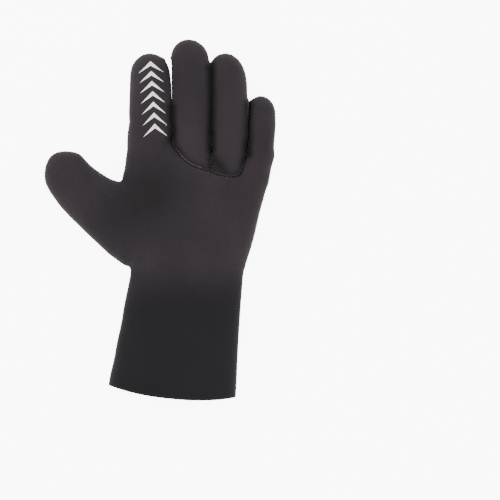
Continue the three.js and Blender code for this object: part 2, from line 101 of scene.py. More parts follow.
shells = [shell(name) for name in SHEETS]
corners, triangles, count = [], [], 0
for piece, (points, faces) in enumerate(shells):
    lane = lane_of(points[:, 0], FINGER_GAPS)
    if piece in (MIDDLE, RING):
        lane[:] = -0.5 if piece == MIDDLE else 0.5
    moved = points.copy()
    moved[:, 0] += held_apart(points, lane)
    moved[:, :2] += np.outer(hem_distance(points) > -HEM_NEAR, HEM_OUT) * HEM_OVERRUN
    corners.append(moved)
    triangles.append(faces + count)
    count += len(points)
mesh = bpy.data.meshes.new("skin")
mesh.from_pydata((np.concatenate(corners) * MM).tolist(), [], np.concatenate(triangles).tolist())
skin = bpy.data.objects.new("skin", mesh)
bpy.context.collection.objects.link(skin)
pick(skin)
voxels = skin.modifiers.new("voxels", "REMESH")
voxels.mode = "VOXEL"
voxels.voxel_size = VOXEL * MM
bpy.ops.object.modifier_apply(modifier=voxels.name)

# Only the outside is kept: the cut edge at the hem is removed, and what hangs together with the
# highest point of the back of the hand is the outside.
work = bmesh.new()
work.from_mesh(skin.data)
hem_out = Vector((*HEM_OUT, 0))
edge_faces = [
    f for f in work.faces
    if f.calc_center_median().y < HEM_TOP * MM and f.normal.dot(hem_out) > HEM_FACING
]
bmesh.ops.delete(work, geom=edge_faces, context="FACES")
start = max(work.verts, key=lambda v: v.co.z)
outside = {start}
front = [start]
while front:
    corner = front.pop()
    for edge in corner.link_edges:
        other = edge.other_vert(corner)
        if other not in outside:
            outside.add(other)
            front.append(other)
bmesh.ops.delete(work, geom=[v for v in work.verts if v not in outside], context="VERTS")
work.verts.index_update()
place = np.array([v.co for v in work.verts]) / MM
quads = np.array([[v.index for v in f.verts] for f in work.faces])
work.free()
bpy.data.objects.remove(skin)


class Web:
    """Which corners each corner hangs on. Those on an open edge hang only on their like."""

    def __init__(self, faces):
        sides = np.stack([faces, np.roll(faces, -1, axis=1)], axis=2).reshape(-1, 2)
        edges, uses = np.unique(np.sort(sides, axis=1), axis=0, return_counts=True)
        open_edge = uses == 1
        on_rim = np.zeros(faces.max() + 1, bool)
        on_rim[edges[open_edge]] = True
        ways = np.concatenate([edges, edges[:, ::-1]])
        kept = ~on_rim[ways[:, 0]] | np.tile(open_edge, 2)
        ways = ways[kept]
        ways = ways[np.argsort(ways[:, 0], kind="stable")]
        self.near = ways[:, 1]
        self.number = np.bincount(ways[:, 0])
        self.first = np.concatenate([[0], np.cumsum(self.number)[:-1]])

    def relax(self, values, rounds):
        """Moves every value half way to the mean of those it hangs on, round after round."""
        flat = values.reshape(len(values), -1)
        for _ in range(rounds):
            mean = np.add.reduceat(flat[self.near], self.first) / self.number[:, None]
            flat = 0.5 * (flat + mean)
        return flat.reshape(values.shape)


LEAST = 1e-9


def unit(ways):
    """The same ways, each of length 1."""
    return ways / np.maximum(np.linalg.norm(ways, axis=1, keepdims=True), LEAST)


def normals_of(points, faces):
    """The way out of the skin at each corner."""
    across = points[faces[:, 1]] - points[faces[:, 0]]
    along = points[faces[:, -1]] - points[faces[:, 0]]
    facing = np.cross(across, along)
    total = np.zeros_like(points)
    for corner in faces.T:
        for axis in range(3):
            total[:, axis] += np.bincount(corner, facing[:, axis], len(points))
    return unit(total)


def nearest(tree, points):
    """The nearest place on a tree to each point, and its distance."""
    found = [tree.find_nearest(p) for p in points.tolist()]
    return np.array([f[0] for f in found]), np.array([f[3] for f in found])


# Relaxing takes the facets out but shrinks the fingertips, so the skin is pushed back out to the
# faceted shape by an evened distance.
RELAX_ROUNDS = [34, 4, 6]
RETURN_ROUNDS = [14, 14, 6]
faceted = BVHTree.FromPolygons(place.tolist(), quads.tolist())
web = Web(quads)
for relaxing, evening in zip(RELAX_ROUNDS, RETURN_ROUNDS):
    place = web.relax(place, relaxing)
    normal = normals_of(place, quads)
    on_facets, _ = nearest(faceted, place)
    back = web.relax(((on_facets - place) * normal).sum(axis=1), evening)
    place = place + normal * back[:, None]

# The fingers are let back side by side. The lines between them were held apart too, and how far a point
# comes back depends on where it ends up, so its place is found in a few rounds.
BACK_ROUNDS = 3
between = np.tile(FINGER_GAPS, (len(place), 1))
for k, side in enumerate((-1, 0, 1)):
    on_gap = np.stack([between[:, k], place[:, 1]], axis=1)
    between[:, k] += held_apart(on_gap, side)
lane = lane_of(place[:, 0], between)
held = place.copy()
for _ in range(BACK_ROUNDS):
    place[:, 0] = held[:, 0] - held_apart(place, lane)
place[:, 2] = np.maximum(place[:, 2], 0)

# Sculpted: the foam stands a little proud of the imported shells, and more so at the fingertips, the
# thumb and the thumb side of the cuff, and it sags between thumb and index finger. A row gives a place,
# how far round it the skin moves, by how much, and how it swells. At EVENED, lumps are relaxed away.
PROUD = 0.4
EVENED_ROUNDS = 80
EVENED = [
    {"at": (74.0, 50.0, 16.0), "reach": 30.0},
    {"at": (-56.5, 68.0, 18.0), "reach": 18.0},
]
SCULPTS = [
    {"at": (75.5, 45.0, 15.0), "reach": 26.0, "move": (1.2, 0.0, 0.0), "swell": 0.0},
    {"at": (69.0, 26.0, 15.0), "reach": 16.0, "move": (-0.9, 0.0, 0.0), "swell": 0.0},
    {"at": (-70.0, 33.0, 18.0), "reach": 15.0, "move": (0.0, -1.4, 0.0), "swell": 0.0},
    {"at": (-121.0, 50.0, 14.0), "reach": 20.0, "move": (-1.6, 2.4, 0.0), "swell": 0.0},
    {"at": (-112.0, 12.0, 14.0), "reach": 24.0, "move": (-0.5, -0.6, 0.0), "swell": 0.0},
    {"at": (-56.5, 66.0, 18.0), "reach": 22.0, "move": (-1.2, 0.0, 0.0), "swell": 0.0},
    {"at": (-1.5, 148.0, 14.0), "reach": 30.0, "move": (0.0, 0.0, 0.0), "swell": 0.8},
    {"at": (20.7, 138.4, 14.0), "reach": 14.0, "move": (-0.9, 0.3, 0.0), "swell": 0.0},
    {"at": (49.0, 121.0, 14.0), "reach": 16.0, "move": (0.7, 0.0, 0.0), "swell": 0.0},
    {"at": (62.5, 102.0, 12.0), "reach": 18.0, "move": (0.0, 0.0, 0.0), "swell": 0.7},
    {"at": (-58.0, -82.0, 18.0), "reach": 25.0, "move": (-0.8, 0.0, 0.0), "swell": 0.0},
    {"at": (-63.5, -115.0, 18.0), "reach": 25.0, "move": (-0.8, 0.0, 0.0), "swell": 0.0},
    {"at": (-69.0, -148.0, 18.0), "reach": 25.0, "move": (-0.8, 0.0, 0.0), "swell": 0.0},
]


def near_to(row):
    """1 at the place that a row gives, fading to 0 at its reach."""
    return np.clip(1 - np.linalg.norm(place - row["at"], axis=1) / row["reach"], 0, 1)


evened = web.relax(place, EVENED_ROUNDS)
for row in EVENED:
    place += np.minimum(2 * near_to(row), 1)[:, None] * (evened - place)
sideways = normals_of(place, quads) * (1, 1, 0)
place += PROUD * sideways
for row in SCULPTS:
    place += eased(near_to(row))[:, None] * (np.array(row["move"]) + row["swell"] * sideways)

# The fingers lie side by side, and where the gap between two is narrow the soft sides that face each
# other are squashed together, from the fork up. They meet on a face that is bowed by the squash. Index
# and middle finger touch only up to SLIT_FROM, and the slit above widens to their tips.
SQUASH_REACH, SQUEEZE, TOUCH = 8.0, 2.0, 0.05
BOW, BOW_LONG = 0.4, 9.0
FORK_FADE, LOW_FADE, PAINTED_CREASE_WIDTH = 4.0, 10.0, 6.5
ROWS_TO, ROW_STEP, ROW_NEAR, FAR_OFF = 150.0, 2.0, 1.5, 200.0
SLIT_FROM, SLIT_FADE, SLIT_WIDEST = 101.0, 4.0, 8.0
SLIT_ROWS = [98.0, 103.0, 117.0, 124.0, 131.0, 138.0]
SLIT_HALVES = [0.05, 0.07, 0.13, 0.5, 1.05, 2.5]
# A gap closes where it is narrower than "closes", or up to "low_to" where narrower than "closes_low". The
# sides of the slit keep SLIT_HALVES from its middle at SLIT_ROWS.
NEIGHBOURS = [
    {"west": -1.5, "fork": 62.0, "closes_low": 9.0, "low_to": 80.0, "closes": 3.4, "slit": True},
    {"west": -0.5, "fork": 54.0, "closes_low": 3.4, "low_to": 134.0, "closes": 2.0, "slit": False},
    {"west": 0.5, "fork": 48.5, "closes_low": 12.0, "low_to": 72.0, "closes": 3.4, "slit": False},
]


def closing(half, widest):
    """1 where a gap is under half of the widest that closes, fading to 0 at the widest."""
    return np.clip(2 - 4 * half / widest, 0, 1)


# Painted shade: near a crease where two fingers touch, the knit's colour is darkened, fading away from the
# crease.
painted_crease = np.zeros(len(place))
for pair in NEIGHBOURS:
    rows = np.arange(pair["fork"], ROWS_TO, ROW_STEP)
    beside = [np.abs(place[:, 1] - y) < ROW_NEAR for y in rows]
    west, east = lane == pair["west"], lane == pair["west"] + 1
    edge_west = np.array([place[near & west, 0].max(initial=-FAR_OFF) for near in beside])
    edge_east = np.array([place[near & east, 0].min(initial=FAR_OFF) for near in beside])
    half = 0.5 * np.maximum(edge_east - edge_west, 0)
    near_fork = np.clip((pair["low_to"] - rows) / LOW_FADE, 0, 1)
    widest = pair["closes"] + (pair["closes_low"] - pair["closes"]) * near_fork
    touching = closing(half, widest) * np.clip((rows - pair["fork"]) / FORK_FADE, 0, 1)
    half = np.minimum(half, 0.5 * SQUASH_REACH)
    squash = half / (1 - half / SQUASH_REACH) + SQUEEZE
    close = squash * touching
    below_slit = np.ones(len(rows))
    least = TOUCH
    if pair["slit"]:
        below_slit = np.clip((SLIT_FROM - rows) / SLIT_FADE, 0, 1)
        close = close * below_slit + squash * closing(half, SLIT_WIDEST) * (1 - below_slit)
        touching = touching * below_slit
        least = np.interp(place[:, 1], SLIT_ROWS, SLIT_HALVES)
    below_slit = np.interp(place[:, 1], rows, below_slit)
    middle_x = np.interp(place[:, 1], rows, 0.5 * (edge_east + edge_west))
    middle_x += BOW * below_slit * np.sin(math.tau * place[:, 2] / BOW_LONG)
    amount = np.interp(place[:, 1], rows, close, left=0, right=0)
    held_close = np.interp(place[:, 1], rows, touching, left=0, right=0)
    for mine, side in ((west, -1), (east, 1)):
        off = side * (place[:, 0] - middle_x)
        moved = np.maximum(off - amount * np.clip(1 - off / SQUASH_REACH, 0, 1), least)
        mine = mine & (amount > 0)
        place[mine, 0] = (middle_x + side * moved)[mine]
        dark = held_close * np.clip(1 - side * (place[:, 0] - middle_x) / PAINTED_CREASE_WIDTH, 0, 1)
        painted_crease[mine] = np.maximum(painted_crease, dark)[mine]

# Dents in the back of the hand: the creases between the fingers run on into the seams, and a soft furrow
# crosses the wrist where the cuff begins. Each is a line of places with the depth it has there.
VALLEYS = [
    [(-17.2, 74.0, 3.0), (-13.6, 60.5, 3.2), (-9.0, 54.0, 2.0), (6.0, 43.5, 0.8)],
    [(19.3, 72.0, 4.0), (19.3, 58.0, 3.6), (19.9, 47.0, 1.6)],
    [(52.0, 64.0, 4.0), (50.2, 52.0, 3.6), (44.5, 37.0, 2.0), (38.0, 32.5, 0.6)],
]
VALLEY_REACH, VALLEY_FORM = 5.0, 1.6
WRIST_FURROW = [(-54.0, -48.0, 3.0), (-36.0, -55.0, 1.8), (0.0, -60.0, 1.0), (36.0, -60.0, 1.2)]
FURROW_REACH = 13.0
BACK_FROM, BACK_FADE = 15.0, 9.0


def pressed(points, line, reach):
    """How deep a line of dents presses each point, and how near the line it lies, from 0 to 1."""
    apart, depth = np.full(len(points), np.inf), np.zeros(len(points))
    for start, end in zip(line, line[1:]):
        start, run = np.array(start), np.array(end) - np.array(start)
        share = np.clip((points[:, :2] - start[:2]) @ run[:2] / (run[:2] @ run[:2]), 0, 1)
        off = np.linalg.norm(points[:, :2] - start[:2] - share[:, None] * run[:2], axis=1)
        depth = np.where(off < apart, start[2] + share * run[2], depth)
        apart = np.minimum(off, apart)
    return depth, np.clip(1 - apart / reach, 0, 1)


def back_share(points):
    """1 on the back of the hand, fading to 0 down its sides."""
    return np.clip((points[:, 2] - BACK_FROM) / BACK_FADE, 0, 1)


on_back = back_share(place)
for valley in VALLEYS:
    depth, nearness = pressed(place, valley, VALLEY_REACH)
    place[:, 2] -= on_back * depth * nearness**VALLEY_FORM
depth, nearness = pressed(place, WRIST_FURROW, FURROW_REACH)
place[:, 2] -= on_back * depth * eased(nearness)

# Along a seam the sheet's rounded edges leave a groove. Where it runs on from the forks of the fingers
# it is deeper, by the last number at each place of a line, and darker with painted shade.
DEEP_GROOVES = [
    [(-17.2, 74.0, 2.6), (-13.6, 60.5, 2.6), (-8.0, 53.0, 1.6), (0.0, 46.5, 0.7), (8.0, 43.0, 0.3)],
    [(19.3, 72.0, 2.6), (19.3, 58.0, 2.6), (19.9, 47.0, 1.4)],
    [(52.0, 64.0, 2.6), (50.2, 52.0, 2.6), (44.5, 37.0, 1.8), (38.0, 32.5, 0.5)],
]
GROOVE_FULL_SHADE_DEPTH, GROOVE_REACH, PAINTED_GROOVE_REACH = 2.6, 6.0, 3.0

# The cut lines. The skin is cut along the middle of each seam gap between two packed shells, at the hem,
# and once more beside every seam and the hem, so that the edges of the sheet can be rounded there. A row
# of data holds a corner's place, its distances from the five packed shells, and how much painted shade its
# crease gets.
EVEN_ROUNDS = 10
EDGE_ROUND, EDGE_ROWS = 1.5, [0.25, 0.8, 1.5]
NEOPRENE = 4.5
SNAP = 0.18
TO_SHEETS = slice(3, 3 + len(SHEETS))


def split(data, faces, level):
    """Splits triangles along the line where level is 0. Corners close to the line move onto it."""
    ends = np.sort(np.stack([faces, np.roll(faces, -1, axis=1)], axis=2).reshape(-1, 2), axis=1)
    for _ in range(2):
        sign = np.sign(level)
        pairs = np.unique(ends[sign[ends[:, 0]] * sign[ends[:, 1]] < 0], axis=0)
        share = level[pairs[:, 0]] / (level[pairs[:, 0]] - level[pairs[:, 1]])
        on_line = data[pairs[:, 0]] + share[:, None] * (data[pairs[:, 1]] - data[pairs[:, 0]])
        for side, close in ((0, share < SNAP), (1, share > 1 - SNAP)):
            data[pairs[close, side]] = on_line[close]
            level[pairs[close, side]] = 0
    sign = np.sign(level)
    crossed = sign[ends[:, 0]] * sign[ends[:, 1]] < 0
    pairs, place_in = np.unique(ends[crossed], axis=0, return_inverse=True)
    share = level[pairs[:, 0]] / (level[pairs[:, 0]] - level[pairs[:, 1]])
    added = data[pairs[:, 0]] + share[:, None] * (data[pairs[:, 1]] - data[pairs[:, 0]])
    middle = np.full(len(ends), -1)
    middle[crossed] = len(data) + place_in.ravel()
    middle = middle.reshape(-1, 3)
    new = (middle >= 0).sum(axis=1)
    lone = np.where(new == 2, (np.argmin(middle, axis=1) + 2) % 3, np.argmax(middle, axis=1))
    turn = (lone[:, None] + np.arange(3)) % 3
    corner = np.take_along_axis(faces, turn, axis=1)
    middle = np.take_along_axis(middle, turn, axis=1)
    two, one = new == 2, new == 1
    (a, b, c), (ab, _, ca) = corner[two].T, middle[two].T
    (d, e, f), de = corner[one].T, middle[one][:, 0]
    parts = [(a, ab, ca), (ab, b, c), (ab, c, ca), (d, de, f), (de, e, f)]
    faces = np.concatenate([faces[new == 0]] + [np.stack(part, axis=1) for part in parts])
    return np.concatenate([data, added]), faces, np.concatenate([level, np.zeros(len(added))])


def apart_from(data, piece):
    """Below 0 inside a piece and above 0 outside it."""
    others = np.delete(data[:, TO_SHEETS], piece, axis=1)
    return data[:, TO_SHEETS][:, piece] - others.min(axis=1)


distances = []
for points, faces in shells:
    tree = BVHTree.FromPolygons(points.tolist(), faces.tolist())
    distances.append(nearest(tree, place)[1])
distances = web.relax(np.stack(distances, axis=1), EVEN_ROUNDS)
data = np.concatenate([place, distances, painted_crease[:, None]], axis=1)
faces = np.concatenate([quads[:, [0, 1, 2]], quads[:, [0, 2, 3]]])
data, faces, beyond = split(data, faces, hem_distance(data))
faces = faces[beyond[faces].mean(axis=1) < 0]
for piece in (PALM, MIDDLE, RING, GUSSET):
    data, faces, _ = split(data, faces, apart_from(data, piece))


def piece_of(data, faces):
    """The piece of sheet that each triangle belongs to."""
    return np.argmin(data[:, TO_SHEETS][faces].mean(axis=1), axis=1)


def seam_edges(faces, owner):
    """The edges between two pieces, with the pair of pieces that each joins."""
    sides = np.sort(np.stack([faces, np.roll(faces, -1, axis=1)], axis=2).reshape(-1, 2), axis=1)
    order = np.lexsort((sides[:, 1], sides[:, 0]))
    sides, of = sides[order], np.repeat(owner, 3)[order]
    twin = np.flatnonzero((sides[:-1] == sides[1:]).all(axis=1) & (of[:-1] != of[1:]))
    return sides[twin], np.sort(np.stack([of[twin], of[twin + 1]], axis=1), axis=1)


# The side seam closes the cuff on its palm side, near the little-finger edge, which is looked for row by
# row from the hem to the wrist. Above CUFF_SIDE_Z nothing is cut.
SIDE_SEAM_INSET = 8.0
CUFF_SIDE_Z, OFF_SEAM = 12.0, 4.5
WRIST_Y = -50.6
CUFF_ROW, CUFF_ROW_NEAR, PAST_WRIST = 4.0, 3.0, 6.0
cuff = data[data[:, 1] < WRIST_Y + PAST_WRIST]
cuff_rows = np.arange(cuff[:, 1].min(), WRIST_Y + CUFF_ROW, CUFF_ROW)
cuff_east = [cuff[np.abs(cuff[:, 1] - y) < CUFF_ROW_NEAR][:, 0].max() for y in cuff_rows]
beside_seam = data[:, 0] - np.interp(data[:, 1], cuff_rows, cuff_east) + SIDE_SEAM_INSET
under = data[:, 2] < CUFF_SIDE_Z
data, faces, side_level = split(data, faces, np.where(under, beside_seam, OFF_SEAM))

# The seams as points a quarter of a mesh edge apart, and those of the side seam, to measure the rounded
# edges of the sheets from.
joins, _ = seam_edges(faces, piece_of(data, faces))
ends = data[joins][:, :, :3]
share = (np.arange(4) / 4)[:, None, None]
seams = (ends[None, :, 0] * (1 - share) + ends[None, :, 1] * share).reshape(-1, 3)
side_line = data[(side_level == 0) & (data[:, 0] > 0) & (data[:, 1] < WRIST_Y)][:, :3]
side_line = side_line[np.argsort(side_line[:, 1])]
line_points = np.concatenate([seams, side_line])
line_tree = KDTree(len(line_points))
for i, point in enumerate(line_points):
    line_tree.insert(point, i)
line_tree.balance()


def edge_distance(data):
    """How far each corner lies from the nearest seam or from the hem."""
    to_seam = np.array([line_tree.find(p)[2] for p in data[:, :3].tolist()])
    return np.minimum(to_seam, -hem_distance(data))


for row in EDGE_ROWS[::-1]:
    data, faces, _ = split(data, faces, edge_distance(data) - row)
owner = piece_of(data, faces)
place = data[:, :3].copy()
normal = normals_of(place, faces)
edge = edge_distance(data)
share = np.clip(1 - edge / EDGE_ROUND, 0, 1)
groove = np.full(len(place), EDGE_ROUND)
on_back = back_share(place)
painted_crease = data[:, -1]
for deep in DEEP_GROOVES:
    depth, nearness = pressed(place, deep, GROOVE_REACH)
    depth = depth * on_back * np.clip(2 * nearness, 0, 1)
    groove = np.maximum(groove, EDGE_ROUND + depth)
    # Painted shade: the deeper the groove, the darker the knit beside it.
    painted_crease = np.maximum(painted_crease, depth / GROOVE_FULL_SHADE_DEPTH * np.clip(1 - edge / PAINTED_GROOVE_REACH, 0, 1))
sunk = groove * (1 - np.sqrt(1 - share**2))
outer = place - normal * sunk[:, None]
inner = place - normal * NEOPRENE
outer[:, 2] = np.maximum(outer[:, 2], 0)


# The five pieces of sheet. Each is foamed neoprene with a thin jersey knit glued on both faces. Its edges
# are rounded where they meet at a seam, the foam shows black at the cut hem, and the inside is plain. The
# knit's colour carries painted shade in the seams and creases, by the gusset and over the roots of the thumb
# and the index finger, and a painted highlight on the seams' rounded shoulders and on the little-finger
# side.
def knit_group():
    """The knit's wales and courses, with the soft unevenness of the foam under it, and its shade."""
    group = bpy.data.node_groups.new("jersey knit", "ShaderNodeTree")
    socket = group.interface.new_socket
    socket("Pitch", in_out="INPUT", socket_type="NodeSocketFloat")
    socket("Cloud", in_out="INPUT", socket_type="NodeSocketFloat")
    socket("Height", in_out="OUTPUT", socket_type="NodeSocketFloat")
    socket("Shade", in_out="OUTPUT", socket_type="NodeSocketFloat")
    nodes, links = group.nodes, group.links
    given = nodes.new("NodeGroupInput")
    out = nodes.new("NodeGroupOutput")
    where = nodes.new("ShaderNodeTexCoord")
    waves = []
    for turn in (0.0, 90.0):
        turned = nodes.new("ShaderNodeMapping")
        turned.inputs["Rotation"].default_value[2] = math.radians(turn)
        links.new(where.outputs["Object"], turned.inputs["Vector"])
        wave = nodes.new("ShaderNodeTexWave")
        wave.wave_profile = "SIN"
        wave.inputs["Distortion"].default_value = 0.6
        wave.inputs["Detail"].default_value = 1.0
        wave.inputs["Detail Scale"].default_value = 2.0
        links.new(turned.outputs["Vector"], wave.inputs["Vector"])
        links.new(given.outputs["Pitch"], wave.inputs["Scale"])
        waves.append(wave)
    loops = nodes.new("ShaderNodeMath")
    loops.operation = "MULTIPLY"
    for side, wave in enumerate(waves):
        links.new(wave.outputs["Fac"], loops.inputs[side])
    foam = nodes.new("ShaderNodeTexNoise")
    foam.inputs["Scale"].default_value = 150.0
    foam.inputs["Detail"].default_value = 3.0
    links.new(where.outputs["Object"], foam.inputs["Vector"])
    height = nodes.new("ShaderNodeMath")
    height.operation = "MULTIPLY_ADD"
    height.inputs[1].default_value = 0.3
    links.new(loops.outputs[0], height.inputs[0])
    links.new(foam.outputs["Fac"], height.inputs[2])
    links.new(height.outputs[0], out.inputs["Height"])
    cloud = nodes.new("ShaderNodeTexNoise")
    cloud.inputs["Detail"].default_value = 4.0
    links.new(given.outputs["Cloud"], cloud.inputs["Scale"])
    links.new(where.outputs["Object"], cloud.inputs["Vector"])
    lint = nodes.new("ShaderNodeTexNoise")
    lint.inputs["Scale"].default_value = 620.0
    lint.inputs["Detail"].default_value = 2.0
    links.new(where.outputs["Object"], lint.inputs["Vector"])
    fine = nodes.new("ShaderNodeMath")
    fine.operation = "MULTIPLY_ADD"
    fine.inputs[1].default_value = 0.3
    links.new(loops.outputs[0], fine.inputs[0])
    links.new(lint.outputs["Fac"], fine.inputs[2])
    shade = nodes.new("ShaderNodeMath")
    shade.operation = "MULTIPLY_ADD"
    shade.inputs[1].default_value = 0.5
    links.new(fine.outputs[0], shade.inputs[0])
    links.new(cloud.outputs["Fac"], shade.inputs[2])
    links.new(shade.outputs[0], out.inputs["Shade"])
    return group


# Painted light on the knit. By the distance from a seam or the hem, painted shade in the groove and a
# painted highlight on its rounded shoulder; on the middle and ring fingers' backs and the gusset, painted
# shade at the foot of the fingers by distances of its own. Round each listed place there is painted shade or
# a painted highlight by a share.
knit = knit_group()
CUFF_FROM, CUFF_TO = -34.0, -88.0
CUFF_LOW, CUFF_HIGH = 4.0, 16.0
SEAM_PAINT_APART = [0.0, 0.6, 1.3, 2.6]
SEAM_PAINTED_LIGHT = [0.25, 0.75, 1.35, 1.0]
FOOT_PAINT_APART = [0.0, 0.6, 2.2, 6.5]
FOOT_PAINTED_SHADE = [0.25, 0.5, 0.62, 1.0]
PAINTED_CREASE_SHADE = 0.9
SHEET_SMOOTH = math.radians(62)
# Painted shade by the gusset, over the back of the hand and over the thumb root, and a painted highlight on
# the little-finger side.
PAINTED_LIGHT_AREAS = [
    {"at": (22.0, 43.0, 31.0), "reach": 16.0, "shade": -0.35},
    {"at": (-32.0, 16.0, 34.0), "reach": 56.0, "shade": -0.45},
    {"at": (-70.0, -8.0, 24.0), "reach": 40.0, "shade": -0.36},
    {"at": (60.0, 30.0, 26.0), "reach": 34.0, "shade": 0.14},
]


def new_finish(name):
    """A new material, with its nodes, its links and its shader."""
    material = bpy.data.materials.new(name)
    material.use_nodes = True
    nodes, links = material.node_tree.nodes, material.node_tree.links
    return material, nodes, links, nodes["Principled BSDF"]


def knitted(nodes, pitch, cloud):
    """The knit in a material: its shade and its height."""
    surface = nodes.new("ShaderNodeGroup")
    surface.node_tree = knit
    surface.inputs["Pitch"].default_value = pitch
    surface.inputs["Cloud"].default_value = cloud
    return surface.outputs["Shade"], surface.outputs["Height"]


def toned(nodes, links, shade, tones):
    """A colour that follows the shade between two tones, each with its own place on the shade."""
    ramp = nodes.new("ShaderNodeValToRGB")
    for step, (at, tone) in zip(ramp.color_ramp.elements, tones):
        step.position = at
        step.color = (*tone, 1)
    links.new(shade, ramp.inputs["Fac"])
    return ramp.outputs["Color"]


def roughened(nodes, links, shade, low, high):
    """A shader whose roughness follows the shade."""
    rough = nodes.new("ShaderNodeMapRange")
    rough.inputs["To Min"].default_value = low
    rough.inputs["To Max"].default_value = high
    links.new(shade, rough.inputs["Value"])
    links.new(rough.outputs[0], nodes["Principled BSDF"].inputs["Roughness"])


def embossed(nodes, links, height, strength, depth):
    """A shader with a fine relief, its depth in mm."""
    relief = nodes.new("ShaderNodeBump")
    relief.inputs["Strength"].default_value = strength
    relief.inputs["Distance"].default_value = depth * MM
    links.new(height, relief.inputs["Height"])
    links.new(relief.outputs["Normal"], nodes["Principled BSDF"].inputs["Normal"])


def neoprene(name, dark, light, cuff=None, pitch=620.0):
    """Jersey-faced neoprene between two colours, with another colour on the back of the cuff."""
    material, nodes, links, shader = new_finish(name)
    shader.inputs["Specular IOR Level"].default_value = 0.18
    shader.inputs["Sheen Weight"].default_value = 0.12
    shader.inputs["Sheen Roughness"].default_value = 0.32
    shader.inputs["Sheen Tint"].default_value = (0.8, 0.76, 0.8, 1)
    shade, height = knitted(nodes, pitch, 22.0)
    colour = toned(nodes, links, shade, ((0.45, dark), (1.0, light)))
    if cuff:
        where = nodes.new("ShaderNodeTexCoord")
        axes = nodes.new("ShaderNodeSeparateXYZ")
        links.new(where.outputs["Object"], axes.inputs[0])
        parts = []
        for axis, start, end in (("Y", CUFF_FROM, CUFF_TO), ("Z", CUFF_LOW, CUFF_HIGH)):
            part = nodes.new("ShaderNodeMapRange")
            part.interpolation_type = "SMOOTHSTEP"
            part.inputs["From Min"].default_value = start * MM
            part.inputs["From Max"].default_value = end * MM
            links.new(axes.outputs[axis], part.inputs["Value"])
            parts.append(part)
        on_cuff = nodes.new("ShaderNodeMath")
        on_cuff.operation = "MULTIPLY"
        for side, part in enumerate(parts):
            links.new(part.outputs[0], on_cuff.inputs[side])
        # A colour Mix takes its share, A and B at sockets 0, 6 and 7, and gives its colour at socket 2.
        mix = nodes.new("ShaderNodeMix")
        mix.data_type = "RGBA"
        mix.blend_type = "MULTIPLY"
        links.new(on_cuff.outputs[0], mix.inputs[0])
        links.new(colour, mix.inputs[6])
        mix.inputs[7].default_value = (*cuff, 1)
        colour = mix.outputs[2]
    # The painted shade and highlight, kept per corner, scale the knit's colour.
    painted_light = nodes.new("ShaderNodeAttribute")
    painted_light.attribute_name = "painted_light"
    painted_light_scaled = nodes.new("ShaderNodeVectorMath")
    painted_light_scaled.operation = "SCALE"
    links.new(colour, painted_light_scaled.inputs[0])
    links.new(painted_light.outputs["Fac"], painted_light_scaled.inputs["Scale"])
    links.new(painted_light_scaled.outputs[0], shader.inputs["Base Color"])
    roughened(nodes, links, shade, 0.74, 0.92)
    embossed(nodes, links, height, 0.6, 0.18)
    return material


smooth_face = neoprene("smooth jersey neoprene", (0.0125, 0.0095, 0.0115), (0.0235, 0.018, 0.0215),
                       cuff=(0.37, 0.43, 0.465))
grip_face = neoprene("palm jersey neoprene", (0.013, 0.0095, 0.012), (0.023, 0.017, 0.021))
lining = neoprene("black lining and foam", (0.005, 0.005, 0.0055), (0.011, 0.0105, 0.0115), pitch=900.0)
# Painted shade in the seams' grooves and at the hem's edge, and a painted highlight on their rounded
# shoulders.
painted_light = np.interp(edge, SEAM_PAINT_APART, SEAM_PAINTED_LIGHT)
# Painted shade at the foot of the middle and ring fingers' backs and on the gusset, near their seams.
foot_shade_mask = np.isin(np.argmin(data[:, TO_SHEETS], axis=1), (MIDDLE, RING, GUSSET))
painted_light[foot_shade_mask] = np.interp(edge, FOOT_PAINT_APART, FOOT_PAINTED_SHADE)[foot_shade_mask]
# Painted shade in the creases between the fingers and along the deep grooves darkens the colour.
painted_light *= 1 - PAINTED_CREASE_SHADE * painted_crease
# Painted shade and a painted highlight over broad areas of the hand.
for area in PAINTED_LIGHT_AREAS:
    painted_light = painted_light * (1 + area["shade"] * eased(near_to(area)))


def sheet_piece(piece):
    """One piece of sheet: its rounded outside, its inside below it and the cut edges between."""
    mine = faces[owner == piece]
    used, local = np.unique(mine, return_inverse=True)
    local = local.reshape(-1, 3)
    number = len(used)
    sides = np.stack([local, np.roll(local, -1, axis=1)], axis=2).reshape(-1, 2)
    _, first, uses = np.unique(np.sort(sides, axis=1), axis=0, return_index=True, return_counts=True)
    rim = sides[first[uses == 1]]
    walls = np.stack([rim[:, 1], rim[:, 0], rim[:, 0] + number, rim[:, 1] + number], axis=1)
    every = local.tolist() + (local[:, ::-1] + number).tolist() + walls.tolist()
    points = np.concatenate([outer[used], inner[used]]) * MM
    mesh = bpy.data.meshes.new("sheet " + SHEETS[piece])
    mesh.from_pydata(points.tolist(), [], every)
    made = bpy.data.objects.new("sheet_" + SHEETS[piece], mesh)
    bpy.context.collection.objects.link(made)
    mesh.materials.append(grip_face if piece == PALM else smooth_face)
    mesh.materials.append(lining)
    kinds = np.ones(len(every), int)
    kinds[: len(local)] = 0
    mesh.polygons.foreach_set("material_index", kinds)
    # Each corner's painted shade and highlight; the inside has none.
    shade = mesh.attributes.new("painted_light", "FLOAT", "POINT")
    shade.data.foreach_set("value", np.concatenate([painted_light[used], np.ones(number)]))
    pick(made)
    bpy.ops.object.shade_smooth_by_angle(angle=SHEET_SMOOTH)
    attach(made, "root")
    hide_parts(SHEETS[piece])


for piece in range(len(SHEETS)):
    sheet_piece(piece)
outside_tree = BVHTree.FromPolygons(outer.tolist(), faces.tolist())

